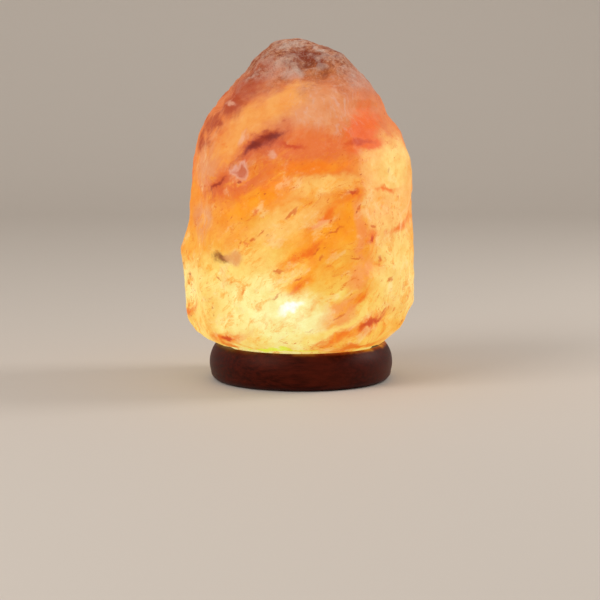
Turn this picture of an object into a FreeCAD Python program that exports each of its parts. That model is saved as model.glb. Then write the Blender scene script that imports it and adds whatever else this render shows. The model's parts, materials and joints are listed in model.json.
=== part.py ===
"""Salt crystal lamp: a hollowed rock on a turned wooden foot, lit by a bulb on a spring clip.

Millimetres. +Z is up, the front looks along -Y, and z = 0 is the table under the pads.
Every size that matters is a row of the Sizes sheet; the solids below are bound to those rows.
"""
import FreeCAD
import Part
import Sketcher
import math
import os
import random

doc = FreeCAD.newDocument("salt_crystal_lamp")
sheet = doc.addObject("Spreadsheet::Sheet", "Sizes")

# ---------------------------------------------------------------- driving sizes

SIZES = {
    # wooden foot
    "foot_bottom": (0.5, "underside of the wood above the table"),
    "foot_edge_r": (52.8, "radius of the lower edge"),
    "foot_belly_r": (56.6, "widest radius of the wood"),
    "foot_belly_z": (11.0, "height of the widest radius"),
    "foot_rim_r": (50.6, "radius of the rim crest"),
    "foot_rim_z": (22.6, "height of the rim crest"),
    "dish_r": (47.5, "radius of the dish the rock sits in"),
    "dish_z": (20.0, "floor of the dish"),
    "roof_z": (11.0, "roof of the recess under the foot"),
    "recess_r": (26.0, "radius of the recess under the foot"),
    "bore_r": (20.0, "radius of the bore the spring clip grips"),
    "channel_w": (8.0, "width of the cord channel"),
    "channel_z": (10.0, "roof of the cord channel"),
    # pad and screws under the foot
    "pad_inner_r": (40.5, "inner radius of the ring-shaped pad"),
    "pad_outer_r": (48.5, "outer radius of the ring-shaped pad"),
    "pad_h": (2.0, "thickness of the pad, most of it sunk in the wood"),
    "pad_gap": (14.0, "gap in the pad where a cord passes"),
    "screw_ring": (34.0, "radius the rock screws stand on"),
    "screw_r": (2.0, "radius of a rock screw"),
    "screw_hole_r": (2.3, "clearance hole for a rock screw in the wood"),
    "screw_head_r": (4.0, "radius of the countersunk head"),
    "screw_head_h": (2.2, "depth of the countersunk head"),
    "screw_top": (38.0, "height the screw point reaches in the rock"),
    "plug_r": (3.5, "radius of a wall plug"),
    "plug_top": (42.0, "height a wall plug reaches in the rock"),
    # rock
    "cavity_r": (24.0, "radius of the hollow bored for the bulb"),
    "cavity_top": (108.0, "top of the straight part of the hollow"),
    "underside_r": (45.0, "half width of the sawn underside"),
    # spring clip
    "plate_r": (25.0, "radius of the clip plate"),
    "plate_t": (1.0, "thickness of the clip plate"),
    "leaf_t": (0.5, "thickness of the spring strip"),
    "leaf_w": (9.0, "width of the spring strip"),
    "bridge_x": (14.5, "half length of the flat bridge"),
    "wing_bow_x": (19.4, "reach of the bowed spring"),
    "wing_tip_z": (36.0, "height of the finger tab"),
    # inlet
    "nipple_r": (5.0, "outer radius of the threaded tube"),
    "nipple_bore_r": (3.5, "bore of the threaded tube, where a cord enters"),
    "nipple_bottom": (6.5, "lower end of the threaded tube"),
    "nipple_top": (16.5, "upper end of the threaded tube"),
    "nut_flats": (14.0, "width of the nut across its flats"),
    "nut_h": (3.0, "height of the nut"),
    # lampholder
    "holder_r": (12.5, "outer radius of the lampholder"),
    "holder_wall": (2.0, "wall of the lampholder"),
    "cap_top": (25.0, "joint between cap and skirt"),
    "skirt_top": (48.5, "upper edge of the skirt"),
    "block_bottom": (20.0, "underside of the terminal block"),
    "block_top": (24.0, "top of the terminal block"),
    # screw thread of the small cap
    "pitch": (2.822, "pitch of the thread"),
    "thread_r": (6.123, "radius of the thread's centre line"),
    "bead_r": (0.822, "radius of the bulb's rounded thread"),
    "thread_gap": (0.15, "gap between the two threads"),
    "root_r": (6.145, "root radius of the bulb's thread"),
    "sheet_t": (0.45, "wall of the bulb's cap"),
    "sleeve_r": (7.7, "outer radius of the screw sleeve"),
    "sleeve_bottom": (27.0, "lower end of the screw sleeve"),
    "sleeve_top": (43.5, "upper end of the screw sleeve"),
    # bulb
    "contact_z": (25.6, "tip of the bulb's end contact"),
    "bulb_thread_z": (30.0, "lower end of the bulb's cap"),
    "bulb_neck_z": (45.0, "top of the threaded part"),
    "bulb_collar_z": (49.0, "upper edge of the bulb's cap"),
    "bulb_collar_r": (8.3, "radius of the upper edge of the bulb's cap"),
    "glass_r": (12.5, "widest radius of the glass"),
    "glass_wide_z": (68.5, "height of the widest radius, where the dome starts"),
    "glass_t": (0.7, "wall of the glass"),
    "filament_z": (66.0, "height of the filament"),
    "filament_x": (7.0, "half length of the filament"),
    "wire_r": (0.35, "radius of a lead-in wire"),
}

# The rock, from the sawn underside up: height, reach to the left, right, front and back, and the
# forward tilt of the level in degrees, which keeps the facets from lining up in bands.
ROCK = [
    (20.0, 45.0, 45.0, 41.0, 43.0, 0),
    (22.8, 46.0, 46.0, 43.0, 45.0, 0),
    (24.2, 54.4, 51.8, 52.0, 52.0, 0),
    (29.5, 64.4, 58.6, 58.5, 57.0, 0),
    (37.0, 70.2, 64.2, 62.5, 61.0, 0),
    (51.0, 71.6, 70.2, 65.0, 63.0, 3),
    (66.0, 72.6, 69.6, 66.5, 63.5, -3),
    (80.5, 74.6, 69.2, 67.0, 64.0, 4),
    (98.0, 68.8, 68.6, 66.0, 64.5, -5),
    (116.0, 67.6, 68.0, 65.2, 63.4, 3),
    (134.0, 66.6, 67.0, 63.0, 61.5, -6),
    (152.0, 63.0, 61.8, 59.0, 57.5, 5),
    (163.0, 57.2, 53.4, 53.0, 52.0, 0),
    (173.0, 49.4, 49.0, 46.5, 47.0, -4),
    (187.0, 36.4, 38.4, 35.0, 37.0, 6),
    (198.0, 27.4, 27.0, 24.0, 26.0, -3),
    (203.6, 21.6, 19.4, 15.0, 17.0, 0),
    (206.2, 18.4, 8.4, 10.0, 12.0, 0),
    (209.5, 8.6, 2.6, 3.0, 5.0, 0),
]

# Corners of a level as parts of its reach, counter-clockwise from the right.
CORNERS = [
    (1.00, 0.05), (0.90, 0.52), (0.55, 0.90), (0.00, 1.00), (-0.52, 0.88), (-0.90, 0.48),
    (-1.00, -0.05), (-0.84, -0.58), (-0.40, -0.95), (0.12, -1.00), (0.58, -0.93), (0.93, -0.44),
]
# The two side corners stay put, because they are the outline seen from the front, and so do the
# lowest levels, which are sawn to fit the dish. The other corners stray by up to this part of
# their reach, the same way at every build.
SIDE_CORNERS = (0, 6)
SAWN_LEVELS = (0, 1, 2)
UNEVEN = 0.035

# Flat faces struck off the rough rock: direction round Z, tilt above level, and how far inside
# the rock's furthest corner in that direction the face lies.
FACETS = [
    (-118, 38, 4.0),
    (-62, 44, 3.5),
    (-24, 34, 2.0),
    (38, 40, 5.0),
    (100, 34, 5.0),
    (148, 42, 3.5),
    (-88, 60, 2.5),
    (-84, -14, 2.0),
    (-140, -10, 1.8),
    (40, -14, 2.6),
    (130, -10, 2.6),
    (-98, 7, 5.0),
    (-40, 6, 4.0),
    (62, 8, 4.5),
    (118, 12, 4.5),
]

SCREW_ANGLES = (30, 150, 270)

row = 1
for alias, (value, note) in SIZES.items():
    sheet.set(f"A{row}", alias)
    sheet.set(f"B{row}", str(value))
    sheet.set(f"C{row}", note)
    sheet.setAlias(f"B{row}", alias)
    row += 1
for level, reaches in enumerate(ROCK):
    for side, value in zip(("height", "left", "right", "front", "back", "tilt"), reaches):
        alias = f"rock_{side}_l{level}"
        sheet.set(f"A{row}", alias)
        sheet.set(f"B{row}", str(value))
        sheet.setAlias(f"B{row}", alias)
        row += 1
doc.recompute()


# ---------------------------------------------------------------- sizes as expressions

class Size:
    """An expression over the sheet, together with the value it has now."""

    def __init__(self, text, value):
        self.text = text
        self.value = value

    def join(self, sign, other, value, swapped=False):
        first, second = (other, self) if swapped else (self, other)
        return Size(f"({first.text} {sign} {second.text})", value)

    def __add__(self, other):
        other = size(other)
        return self.join("+", other, self.value + other.value)

    def __radd__(self, other):
        return size(other) + self

    def __sub__(self, other):
        other = size(other)
        return self.join("-", other, self.value - other.value)

    def __rsub__(self, other):
        return size(other) - self

    def __mul__(self, other):
        other = size(other)
        return self.join("*", other, self.value * other.value)

    def __rmul__(self, other):
        return self * other

    def __truediv__(self, other):
        other = size(other)
        return self.join("/", other, self.value / other.value)

    def __neg__(self):
        return self * -1


def size(number):
    """A plain number as a Size; a Size stays as it is."""
    if isinstance(number, Size):
        return number
    return Size(f"{number:.6f}", float(number))


class Sheet:
    """S.alias gives the Size of one row of the sheet."""

    def __getattr__(self, alias):
        return Size(f"Sizes.{alias}", float(sheet.get(alias)))


S = Sheet()


def bind(thing, **properties):
    """Bind properties of an object to sizes; x, y and z place it."""
    for name, amount in properties.items():
        path = f"Placement.Base.{name}" if name in ("x", "y", "z") else name
        thing.setExpression(path, size(amount).text)
    return thing


# ---------------------------------------------------------------- makers

def cylinder(name, radius, bottom, top, x=0, y=0):
    thing = doc.addObject("Part::Cylinder", name)
    return bind(thing, Radius=radius, Height=size(top) - bottom, x=x, y=y, z=bottom)


def cone(name, radius_low, radius_high, bottom, top, x=0, y=0):
    thing = doc.addObject("Part::Cone", name)
    return bind(thing, Radius1=radius_low, Radius2=radius_high, Height=size(top) - bottom, x=x, y=y, z=bottom)


def block(name, x_range, y_range, z_range):
    thing = doc.addObject("Part::Box", name)
    spans = [size(high) - low for low, high in (x_range, y_range, z_range)]
    bind(thing, Length=spans[0], Width=spans[1], Height=spans[2])
    return bind(thing, x=x_range[0], y=y_range[0], z=z_range[0])


def fused(name, things):
    thing = doc.addObject("Part::MultiFuse", name)
    thing.Shapes = things
    return thing


def group(name, things):
    """Several equal pieces kept as separate solids of one node."""
    thing = doc.addObject("Part::Compound", name)
    thing.Links = things
    return thing


def cut(name, base, tools):
    """The base less its tools; a tool that takes nothing away is a mistake."""
    tool = tools[0] if len(tools) == 1 else fused(f"{name}_tools", tools)
    thing = doc.addObject("Part::Cut", name)
    thing.Base = base
    thing.Tool = tool
    doc.recompute()
    if thing.Shape.Volume > base.Shape.Volume - 0.01:
        raise ValueError(f"{name}: the cut takes nothing away")
    return thing


def origin_plane(body, role):
    return next(item for item in body.Origin.OriginFeatures if item.Role == role)


def outline(body, name, plane, points):
    """A closed outline of (across, up) points; two more numbers make the edge an arc through that spot."""
    sketch = body.newObject("Sketcher::SketchObject", name)
    sketch.AttachmentSupport = (origin_plane(body, plane), [""])
    sketch.MapMode = "FlatFace"
    spots = [[size(number) for number in point] for point in points]
    here = [FreeCAD.Vector(spot[0].value, spot[1].value, 0) for spot in spots]

    def pin(geometry, vertex, across, up):
        for axis, amount in (("DistanceX", across), ("DistanceY", up)):
            index = sketch.addConstraint(Sketcher.Constraint(axis, -1, 1, geometry, vertex, amount.value))
            sketch.setExpression(f"Constraints[{index}]", amount.text)

    edges = []
    for index, spot in enumerate(spots):
        start = here[index - 1]
        end = here[index]
        if len(spot) == 2:
            edges.append((sketch.addGeometry(Part.LineSegment(start, end), False), 1, 2))
            continue
        middle = FreeCAD.Vector(spot[2].value, spot[3].value, 0)
        arc = sketch.addGeometry(Part.ArcOfCircle(start, middle, end), False)
        turns_left = (middle - start).cross(end - middle).z > 0
        edges.append((arc, 1, 2) if turns_left else (arc, 2, 1))
    for index, (edge, first, last) in enumerate(edges):
        before = edges[index - 1]
        sketch.addConstraint(Sketcher.Constraint("Coincident", before[0], before[2], edge, first))
        pin(edge, last, spots[index][0], spots[index][1])
    for index, spot in enumerate(spots):
        if len(spot) == 4:
            mark = sketch.addGeometry(Part.Point(FreeCAD.Vector(spot[2].value, spot[3].value, 0)), True)
            sketch.addConstraint(Sketcher.Constraint("PointOnObject", mark, 1, edges[index][0]))
            pin(mark, 1, spot[2], spot[3])
    return sketch


def turned(name, points):
    """A solid of revolution about Z from an outline of (radius, height) points."""
    body = doc.addObject("PartDesign::Body", name)
    sketch = outline(body, f"{name}_outline", "XZ_Plane", points)
    feature = body.newObject("PartDesign::Revolution", f"{name}_turned")
    feature.Profile = sketch
    feature.ReferenceAxis = (sketch, ["V_Axis"])
    feature.Angle = 360
    return body


def bent(name, plane, path, thickness, width):
    """A strip bent along a path in an origin plane, as wide to either side of that plane."""
    thickness = size(thickness)
    here = [(size(a), size(b)) for a, b in path]
    normals = []
    for (a0, b0), (a1, b1) in zip(here, here[1:]):
        run, rise = a1.value - a0.value, b1.value - b0.value
        length = math.hypot(run, rise)
        normals.append((-rise / length, run / length))
    far_side = []
    for index, (across, up) in enumerate(here):
        before = normals[max(index - 1, 0)]
        after = normals[min(index, len(normals) - 1)]
        scale = 1 + before[0] * after[0] + before[1] * after[1]
        shift = [(before[i] + after[i]) / scale for i in (0, 1)]
        far_side.append((across + thickness * shift[0], up + thickness * shift[1]))
    body = doc.addObject("PartDesign::Body", name)
    sketch = outline(body, f"{name}_outline", plane, here + far_side[::-1])
    feature = body.newObject("PartDesign::Pad", f"{name}_pad")
    feature.Profile = sketch
    feature.Midplane = True
    feature.setExpression("Length", size(width).text)
    return body


def coil(name, radius, section_r, bottom, turns):
    """A round bar wound along the thread."""
    path = doc.addObject("Part::Helix", f"{name}_path")
    bind(path, Pitch=S.pitch, Height=S.pitch * turns, Radius=radius, z=bottom)
    section = doc.addObject("Part::Circle", f"{name}_section")
    upright = FreeCAD.Rotation(FreeCAD.Vector(1, 0, 0), 90)
    section.Placement = FreeCAD.Placement(FreeCAD.Vector(0, 0, 0), upright)
    bind(section, Radius=section_r, x=radius, z=bottom)
    doc.recompute()
    bar = doc.addObject("Part::Sweep", name)
    bar.Sections = [section]
    bar.Spine = (path, [])
    bar.Solid = True
    bar.Frenet = True
    return bar


def around(radius, degrees):
    angle = math.radians(degrees)
    return radius * math.cos(angle), radius * math.sin(angle)


# ---------------------------------------------------------------- rock

def rock_level(body, level, dice):
    """One level of the rock as a closed polygon at its own height and tilt."""
    reach = {side: getattr(S, f"rock_{side}_l{level}") for side in ("left", "right", "front", "back")}
    points = []
    for corner, (across, along) in enumerate(CORNERS):
        steady = corner in SIDE_CORNERS or level in SAWN_LEVELS
        stray = 1 if steady else 1 + dice.uniform(-UNEVEN, UNEVEN)
        x = reach["right" if across > 0 else "left"] * (across * stray)
        y = reach["back" if along > 0 else "front"] * (along * stray)
        points.append((x, y))
    sketch = outline(body, f"rock_level_{level}", "XY_Plane", points)
    tilt = FreeCAD.Rotation(FreeCAD.Vector(1, 0, 0), getattr(S, f"rock_tilt_l{level}").value)
    sketch.AttachmentOffset = FreeCAD.Placement(FreeCAD.Vector(0, 0, 0), tilt)
    sketch.setExpression("AttachmentOffset.Base.z", f"Sizes.rock_height_l{level}")
    return sketch


rock_body = doc.addObject("PartDesign::Body", "rock_rough")
dice = random.Random(5)
levels = [rock_level(rock_body, level, dice) for level in range(len(ROCK))]
loft = rock_body.newObject("PartDesign::AdditiveLoft", "rock_loft")
loft.Profile = levels[0]
loft.Sections = levels[1:]
loft.Ruled = True
doc.recompute()


FACET_BLOCK = 400


def facet_block(name, rock, turn, tilt, depth):
    """A block bigger than the rock, whose inner face is the plane of one facet."""
    outward = FreeCAD.Rotation(turn, -tilt, 0)
    direction = outward.multVec(FreeCAD.Vector(1, 0, 0))
    furthest = max(direction.dot(vertex.Point) for vertex in rock.Shape.Vertexes)
    thing = doc.addObject("Part::Box", name)
    thing.Length = FACET_BLOCK
    thing.Width = FACET_BLOCK
    thing.Height = FACET_BLOCK
    corner = outward.multVec(FreeCAD.Vector(furthest - depth, -FACET_BLOCK / 2, -FACET_BLOCK / 2))
    thing.Placement = FreeCAD.Placement(corner, outward)
    return thing


facets = [facet_block(f"facet_{number}", rock_body, *facet) for number, facet in enumerate(FACETS)]
hewn = cut("rock_hewn", rock_body, facets)

# The hollow for the bulb, bored from below, and the seats of the wall plugs beside it.
bore_start = S.dish_z - 5
cavity = cylinder("cavity", S.cavity_r, bore_start, S.cavity_top)
cavity_end = cone("cavity_end", S.cavity_r, S.cavity_r * 0.5, S.cavity_top, S.cavity_top + 6)
plug_seats = []
for number, degrees in enumerate(SCREW_ANGLES):
    x, y = around(S.screw_ring, degrees)
    plug_seats.append(cylinder(f"plug_seat_{number}", S.plug_r, bore_start, S.plug_top, x, y))
salt_crystal = cut("salt_crystal", hewn, [cavity, cavity_end] + plug_seats)


# ---------------------------------------------------------------- wooden foot

foot_turned = turned("foot_turned", [
    (S.recess_r, S.foot_bottom),
    (S.foot_edge_r, S.foot_bottom),
    (S.foot_belly_r - 0.8, S.foot_bottom + 5.0, S.foot_edge_r + 2.0, S.foot_bottom + 1.7),
    (S.foot_rim_r + 2.4, S.foot_rim_z - 0.8, S.foot_belly_r, S.foot_belly_z),
    (S.foot_rim_r - 1.4, S.foot_rim_z - 0.6, S.foot_rim_r + 0.6, S.foot_rim_z),
    (S.dish_r, S.dish_z + 0.8),
    (S.dish_r - 0.8, S.dish_z),
    (S.bore_r, S.dish_z),
    (S.bore_r, S.roof_z),
    (S.recess_r, S.roof_z),
])


def pad_ring(name):
    """The ring-shaped pad, which is also the tool for its own groove."""
    disc = cylinder(f"{name}_disc", S.pad_outer_r, 0, S.pad_h)
    hole = cylinder(f"{name}_hole", S.pad_inner_r, -1, S.pad_h + 1)
    half_gap = S.pad_gap * 0.5
    behind = (S.pad_inner_r * 0.5, S.pad_outer_r + 1)
    gap = block(f"{name}_gap", (-half_gap, half_gap), behind, (-1, S.pad_h + 1))
    doc.recompute()
    return cut(name, cut(f"{name}_ring", disc, [hole]), [gap])


foot_pad = pad_ring("foot_pad")
foot_tools = [
    block(
        "cord_channel",
        (S.channel_w * -0.5, S.channel_w * 0.5),
        (S.recess_r - 2, S.foot_belly_r + 5),
        (S.foot_bottom - 5, S.channel_z),
    ),
    pad_ring("pad_groove"),
]
head_top = S.foot_bottom + S.screw_head_h
for number, degrees in enumerate(SCREW_ANGLES):
    x, y = around(S.screw_ring, degrees)
    foot_tools.append(cylinder(f"screw_hole_{number}", S.screw_hole_r, S.foot_bottom - 1, S.dish_z + 1, x, y))
    foot_tools.append(cone(f"screw_seat_{number}", S.screw_head_r, S.screw_r, S.foot_bottom, head_top, x, y))
wood_base = cut("wood_base", foot_turned, foot_tools)

# Screws hold the rock down; their points bite in plugs set in the salt.
POINT_H = 4.0
POINT_TIP_R = 0.4
CROSS_W = 0.9
CROSS_L = 4.4
CROSS_DEPTH = 1.3
screws = []
plugs = []
for number, degrees in enumerate(SCREW_ANGLES):
    x, y = around(S.screw_ring, degrees)
    head = cone(f"screw_head_{number}", S.screw_head_r, S.screw_r, S.foot_bottom, head_top, x, y)
    shank = cylinder(f"screw_shank_{number}", S.screw_r, head_top, S.screw_top - POINT_H, x, y)
    point = cone(f"screw_point_{number}", S.screw_r, POINT_TIP_R, S.screw_top - POINT_H, S.screw_top, x, y)
    whole = fused(f"screw_whole_{number}", [head, shank, point])
    doc.recompute()
    depth = (S.foot_bottom - 1, S.foot_bottom + CROSS_DEPTH)
    cross = []
    for slot, (a, b) in enumerate(((CROSS_W, CROSS_L), (CROSS_L, CROSS_W))):
        name = f"screw_cross_{number}_{slot}"
        cross.append(block(name, (x - a / 2, x + a / 2), (y - b / 2, y + b / 2), depth))
    screws.append(cut(f"screw_{number}", whole, cross))
    plug = cylinder(f"plug_solid_{number}", S.plug_r, S.dish_z, S.plug_top, x, y)
    plug_bore = cylinder(f"plug_bore_{number}", S.screw_r, S.dish_z - 1, S.screw_top, x, y)
    doc.recompute()
    plugs.append(cut(f"plug_{number}", plug, [plug_bore]))
crystal_screws = group("crystal_screws", screws)
wall_plugs = group("wall_plugs", plugs)


# ---------------------------------------------------------------- spring clip

plate_bottom = S.roof_z - S.plate_t
bridge_top = S.roof_z + S.leaf_t
nipple_hole = cylinder("nipple_hole", S.nipple_r, S.nipple_bottom, S.nipple_top)

plate_disc = cylinder("plate_disc", S.plate_r, plate_bottom, S.roof_z)
doc.recompute()
clip_plate = cut("clip_plate", plate_disc, [nipple_hole])

half_leaf = S.leaf_w * 0.5
bridge_z = (S.roof_z, bridge_top)
bridge_strip = block("bridge_strip", (-S.bridge_x, S.bridge_x), (-half_leaf, half_leaf), bridge_z)
bridge_hub = cylinder("bridge_hub", S.nipple_r + 3, S.roof_z, bridge_top)
bridge_solid = fused("bridge_solid", [bridge_strip, bridge_hub])
doc.recompute()
clip_bridge = cut("clip_bridge", bridge_solid, [nipple_hole])


def wing(name, side):
    """One bowed leg of the clip; side is 1 on the right and -1 on the left."""
    path = [
        (S.bridge_x + 0.1, S.roof_z),
        (S.bridge_x + 1.7, S.roof_z),
        (S.wing_bow_x, S.dish_z - 1),
        (S.wing_bow_x, S.dish_z + 5),
        (S.wing_bow_x - 2.4, S.wing_tip_z - 3),
        (S.wing_bow_x - 1.0, S.wing_tip_z),
    ]
    return bent(name, "XZ_Plane", [(across * side, up) for across, up in path], S.leaf_t * side, S.leaf_w)


right_wing = wing("right_wing", 1)
left_wing = wing("left_wing", -1)

nipple_rod = cylinder("nipple_rod", S.nipple_r, S.nipple_bottom, S.nipple_top)
nipple_bore = cylinder("nipple_bore", S.nipple_bore_r, S.nipple_bottom - 1, S.nipple_top + 1)
doc.recompute()
threaded_nipple = cut("threaded_nipple", nipple_rod, [nipple_bore])

nut_prism = doc.addObject("Part::Prism", "nut_prism")
nut_prism.Polygon = 6
bind(nut_prism, Circumradius=S.nut_flats / math.sqrt(3), Height=S.nut_h, z=plate_bottom - S.nut_h)
doc.recompute()
nipple_nut = cut("nipple_nut", nut_prism, [nipple_hole])


# ---------------------------------------------------------------- lampholder

wall = S.holder_wall
holder_floor = bridge_top + wall + 0.5
spigot_r = S.holder_r - 1.2
spigot_z = S.cap_top - 3
inner_r = S.holder_r - 2.5
holder_cap = turned("holder_cap", [
    (S.nipple_r, bridge_top),
    (S.holder_r - 2.5, bridge_top),
    (S.holder_r, bridge_top + 2.5, S.holder_r - 0.73, bridge_top + 0.73),
    (S.holder_r, spigot_z),
    (spigot_r, spigot_z),
    (spigot_r, S.cap_top),
    (inner_r, S.cap_top),
    (inner_r, holder_floor),
    (S.nipple_r, holder_floor),
])
flange_z = S.sleeve_top - 3.5
holder_skirt = turned("holder_skirt", [
    (spigot_r, spigot_z),
    (S.holder_r, spigot_z),
    (S.holder_r, S.skirt_top - 1),
    (S.holder_r - 1, S.skirt_top, S.holder_r - 0.29, S.skirt_top - 0.29),
    (S.holder_r - 3.1, S.skirt_top),
    (S.holder_r - 3.1, S.sleeve_top),
    (S.sleeve_r, S.sleeve_top),
    (S.sleeve_r, flange_z),
    (inner_r, flange_z - 2),
    (inner_r, S.cap_top),
    (spigot_r, S.cap_top),
])

# The insulating block carries the contacts on top and the wire terminals below.
ring_r = S.sleeve_r - 2.5
block_turned = turned("block_turned", [
    (0, S.block_bottom),
    (inner_r, S.block_bottom),
    (inner_r, S.block_top),
    (S.sleeve_r, S.block_top),
    (S.sleeve_r, S.sleeve_bottom),
    (ring_r, S.sleeve_bottom),
    (ring_r, S.block_top),
    (0, S.block_top),
])
STUD_X = 3.8
STUD_R = 0.9
stud_holes = [
    cylinder(f"stud_hole_{side}", STUD_R, S.block_bottom - 1, S.block_top + 1, side * STUD_X)
    for side in (-1, 1)
]
terminal_block = cut("terminal_block", block_turned, stud_holes)

# A terminal is a small block on a stud, with a screw from below and a wire hole across it.
TERMINAL_NEAR = 3.0
TERMINAL_FAR = 9.0
TERMINAL_HALF_Y = 2.2
TERMINAL_SCREW_X = 7.3
TERMINAL_SCREW_R = 1.2
TERMINAL_HEAD_R = 1.9
TERMINAL_HEAD_H = 1.4
SLOT_HALF_W = 0.3
SLOT_DEPTH = 0.6
WIRE_HOLE_R = 0.9
terminal_z = S.nipple_top + 0.1
head_z = terminal_z - TERMINAL_HEAD_H
terminal_pieces = []
screw_pieces = []
for side, label in ((-1, "left"), (1, "right")):
    across = sorted((TERMINAL_NEAR * side, TERMINAL_FAR * side))
    half_y = TERMINAL_HALF_Y
    clamp = block(f"terminal_clamp_{label}", across, (-half_y, half_y), (terminal_z, S.block_bottom))
    stud = cylinder(f"terminal_stud_{label}", STUD_R, S.block_bottom, S.block_top, side * STUD_X)
    solid = fused(f"terminal_solid_{label}", [clamp, stud])
    screw_x = side * TERMINAL_SCREW_X
    bore = cylinder(f"terminal_bore_{label}", TERMINAL_SCREW_R, terminal_z - 1, terminal_z + 1.6, screw_x)
    wire_hole = doc.addObject("Part::Cylinder", f"wire_hole_{label}")
    wire_hole.Placement.Rotation = FreeCAD.Rotation(FreeCAD.Vector(1, 0, 0), 90)
    bind(wire_hole, Radius=WIRE_HOLE_R, Height=8, x=screw_x, y=4, z=terminal_z + 2)
    doc.recompute()
    terminal_pieces.append(cut(f"terminal_{label}", solid, [bore, wire_hole]))
    shank = cylinder(f"terminal_shank_{label}", TERMINAL_SCREW_R, terminal_z, terminal_z + 1, screw_x)
    head = cylinder(f"terminal_head_{label}", TERMINAL_HEAD_R, head_z, terminal_z, screw_x)
    whole = fused(f"terminal_screw_whole_{label}", [shank, head])
    slot_x = (screw_x - SLOT_HALF_W, screw_x + SLOT_HALF_W)
    slot = block(f"terminal_slot_{label}", slot_x, (-3, 3), (head_z - 1, head_z + SLOT_DEPTH))
    doc.recompute()
    screw_pieces.append(cut(f"terminal_screw_{label}", whole, [slot]))
terminals = group("terminals", terminal_pieces)
terminal_screws = group("terminal_screws", screw_pieces)

CONTACT_T = 0.4
CONTACT_W = 3.0
contact_lift = S.contact_z - CONTACT_T
centre_contact = bent("centre_contact", "XZ_Plane", [
    (-4.8, S.block_top),
    (-2.6, S.block_top),
    (-1.2, contact_lift),
    (1.4, contact_lift),
    (2.3, contact_lift - 0.5),
], CONTACT_T, CONTACT_W)
side_contact = bent("side_contact", "XZ_Plane", [
    (2.9, S.block_top),
    (ring_r - 0.25, S.block_top),
    (ring_r - 0.25, S.sleeve_bottom),
    (S.root_r - 0.05, S.sleeve_bottom + 1.2),
], CONTACT_T, CONTACT_W)

# The bulb turns in a rounded thread; both threads start at the same angle.
SLEEVE_TURNS = 6
BULB_TURNS = 4.2
groove_r = S.bead_r + S.thread_gap
bead_start = S.bulb_thread_z + 1.6
sleeve_rod = cylinder("sleeve_rod", S.sleeve_r, S.sleeve_bottom, S.sleeve_top)
sleeve_groove = coil("sleeve_groove", S.thread_r, groove_r, bead_start - S.pitch, SLEEVE_TURNS)
sleeve_bore = cylinder("sleeve_bore", S.root_r + S.thread_gap, S.sleeve_bottom - 1, S.sleeve_top + 3)
doc.recompute()
sleeve_grooved = cut("sleeve_grooved", sleeve_rod, [sleeve_groove])
screw_sleeve = cut("screw_sleeve", sleeve_grooved, [sleeve_bore])


# ---------------------------------------------------------------- bulb

cap_solid = turned("cap_solid", [
    (0, S.bulb_thread_z),
    (S.root_r, S.bulb_thread_z),
    (S.root_r, S.bulb_neck_z),
    (S.bulb_collar_r, S.bulb_collar_z),
    (0, S.bulb_collar_z),
])
bead = coil("cap_bead", S.thread_r, S.bead_r, bead_start, BULB_TURNS)
cap_bore = turned("cap_bore", [
    (0, S.bulb_thread_z - 1),
    (S.root_r - S.sheet_t, S.bulb_thread_z - 1),
    (S.root_r - S.sheet_t, S.bulb_neck_z + 0.2),
    (S.bulb_collar_r - S.sheet_t, S.bulb_collar_z),
    (S.bulb_collar_r - S.sheet_t, S.bulb_collar_z + 1),
    (0, S.bulb_collar_z + 1),
])
cap_threaded = fused("cap_threaded", [cap_solid, bead])
doc.recompute()
bulb_cap = cut("bulb_cap", cap_threaded, [cap_bore])

tip_r = 2.4
tip_z = S.contact_z + 1.4
bulb_contact = turned("bulb_contact", [
    (0, S.contact_z),
    (tip_r * 0.5, S.contact_z),
    (tip_r * 0.88, S.contact_z + 0.5),
    (tip_r, tip_z),
    (0, tip_z),
])
bulb_insulator = turned("bulb_insulator", [
    (0, tip_z),
    (tip_r, tip_z),
    (S.root_r - 0.1, S.bulb_thread_z),
    (S.root_r - S.sheet_t, S.bulb_thread_z),
    (S.root_r - S.sheet_t, S.bulb_thread_z + 1.2),
    (0, S.bulb_thread_z + 1.2),
])

seal_z = S.bulb_neck_z - 5
neck_r = 5.0
throat_r = S.bulb_collar_r - 1.1
throat_z = S.bulb_collar_z + 0.5
skin = S.glass_t
inner_glass_r = S.glass_r - skin
DIAGONAL = math.sqrt(0.5)
# The dome ends in a small flat, so that no face runs to a point on the axis.
FLAT_R = 1.2


def flat_drop(radius):
    """How far the flat lies below the top of a dome of this radius."""
    return radius - math.sqrt(radius**2 - FLAT_R**2)


outer_flat_z = S.glass_wide_z + S.glass_r - flat_drop(S.glass_r.value)
inner_flat_z = S.glass_wide_z + inner_glass_r - flat_drop(inner_glass_r.value)
bulb_glass = turned("bulb_glass", [
    (neck_r, seal_z),
    (neck_r, S.bulb_neck_z - 1),
    (throat_r, throat_z),
    (S.glass_r, S.glass_wide_z, S.glass_r - 2.1, S.glass_wide_z - 10),
    (FLAT_R, outer_flat_z, S.glass_r * DIAGONAL, S.glass_wide_z + S.glass_r * DIAGONAL),
    (0, outer_flat_z),
    (0, inner_flat_z),
    (FLAT_R, inner_flat_z),
    (inner_glass_r, S.glass_wide_z, inner_glass_r * DIAGONAL, S.glass_wide_z + inner_glass_r * DIAGONAL),
    (throat_r - skin, throat_z + 0.3, inner_glass_r - 2.1, S.glass_wide_z - 9.8),
    (neck_r - skin, S.bulb_neck_z - 0.7),
    (neck_r - skin, seal_z),
])
bulb_cement = turned("bulb_cement", [
    (neck_r, seal_z + 1),
    (S.root_r - S.sheet_t, seal_z + 1),
    (S.root_r - S.sheet_t, S.bulb_neck_z + 0.2),
    (S.bulb_collar_r - S.sheet_t, S.bulb_collar_z),
    (throat_r - 0.2, S.bulb_collar_z),
    (neck_r, S.bulb_neck_z - 1),
])
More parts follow.
